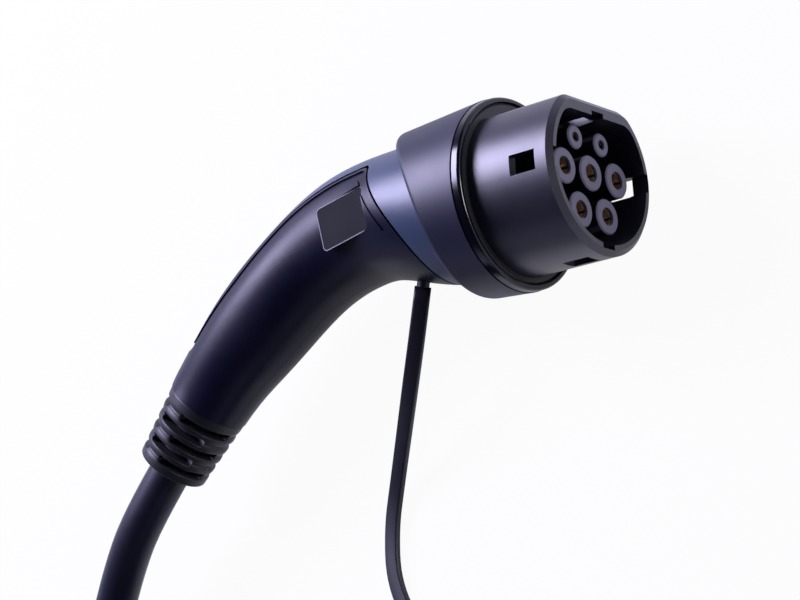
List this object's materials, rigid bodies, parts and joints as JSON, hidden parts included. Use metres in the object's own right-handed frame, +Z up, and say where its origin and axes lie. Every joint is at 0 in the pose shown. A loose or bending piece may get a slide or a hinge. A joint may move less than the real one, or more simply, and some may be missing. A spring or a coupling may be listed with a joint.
{
  "type": "ev charging cable",
  "caption": "Vehicle charging cable: a pistol-grip connector with round socket contacts in a D-shaped shroud, tethered dust cap, thick black cable in a coil and a station plug.",
  "frame": {"origin": "on the table, under the middle of the connector's own box (the cable, strap, cap, coil and plug are left out of that box)", "axes": "+Z up; +X along the mating axis, out of the connector's mouth; +Y the way the flat of the mouth points, so the connector lies on its side"},
  "size_m": [0.4227, 0.4282, 0.0724],
  "materials": {
    "black_insulator": "fine-grained black thermoplastic",
    "black_rubber": "black soft rubber",
    "cable_sheath": "black polyurethane sheath",
    "clamp_plastic": "black nylon",
    "collar_plastic": "matte dark grey plastic",
    "core_black": "black insulation",
    "core_blue": "blue insulation",
    "core_brown": "brown insulation",
    "core_green": "green and yellow insulation",
    "core_grey": "grey insulation",
    "core_white": "white insulation",
    "cover_plastic": "satin blue-grey plastic",
    "glossy_trim": "glossy black plastic",
    "grey_insulator": "grey-violet insulating thermoplastic",
    "grip_plastic": "satin black plastic",
    "plate_plastic": "bare dark plate",
    "resistor_body": "lacquered resistor",
    "screw_steel": "zinc-plated steel",
    "silver_contact": "silver-plated copper alloy, faintly warm"
  },
  "bodies": {
    "root": {"boot": "black_rubber", "cable": "cable_sheath", "cable_clamp": "clamp_plastic", "cable_coil": "cable_sheath", "cable_inside": "cable_sheath", "collar": "collar_plastic", "contact_carrier": "grey_insulator", "contact_cp": "silver_contact", "contact_l1": "silver_contact", "contact_l2": "silver_contact", "contact_l3": "silver_contact", "contact_n": "silver_contact", "contact_pe": "silver_contact", "contact_pp": "silver_contact", "contact_retainer": "grey_insulator", "core_cp": "core_white", "core_l1": "core_brown", "core_l2": "core_black", "core_l3": "core_grey", "core_n": "core_blue", "core_pe": "core_green", "cover": "cover_plastic", "dust_cap": "black_rubber", "front_seal": "black_rubber", "grip_left": "grip_plastic", "grip_right": "grip_plastic", "housing_screws": "screw_steel", "label_plate": "plate_plastic", "pillar_cp": "grey_insulator", "pillar_l1": "grey_insulator", "pillar_l2": "grey_insulator", "pillar_l3": "grey_insulator", "pillar_n": "grey_insulator", "pillar_pe": "grey_insulator", "pillar_pp": "grey_insulator", "plug_body": "black_insulator", "plug_boot": "black_rubber", "plug_cable_clamp": "clamp_plastic", "plug_cable_inside": "cable_sheath", "plug_collar": "collar_plastic", "plug_cores": "core_grey", "plug_cover": "cover_plastic", "plug_front_seal": "black_rubber", "plug_grip_left": "grip_plastic", "plug_grip_right": "grip_plastic", "plug_housing_screws": "screw_steel", "plug_label_plate": "plate_plastic", "plug_pins": "silver_contact", "plug_trim_ring": "glossy_trim", "plug_wells": "black_insulator", "pp_resistor": "resistor_body", "retainer_screws": "screw_steel", "shroud": "black_insulator", "strap": "black_rubber", "strap_anchor": "black_rubber", "trim_ring": "glossy_trim"}
  },
  "joints": []
}
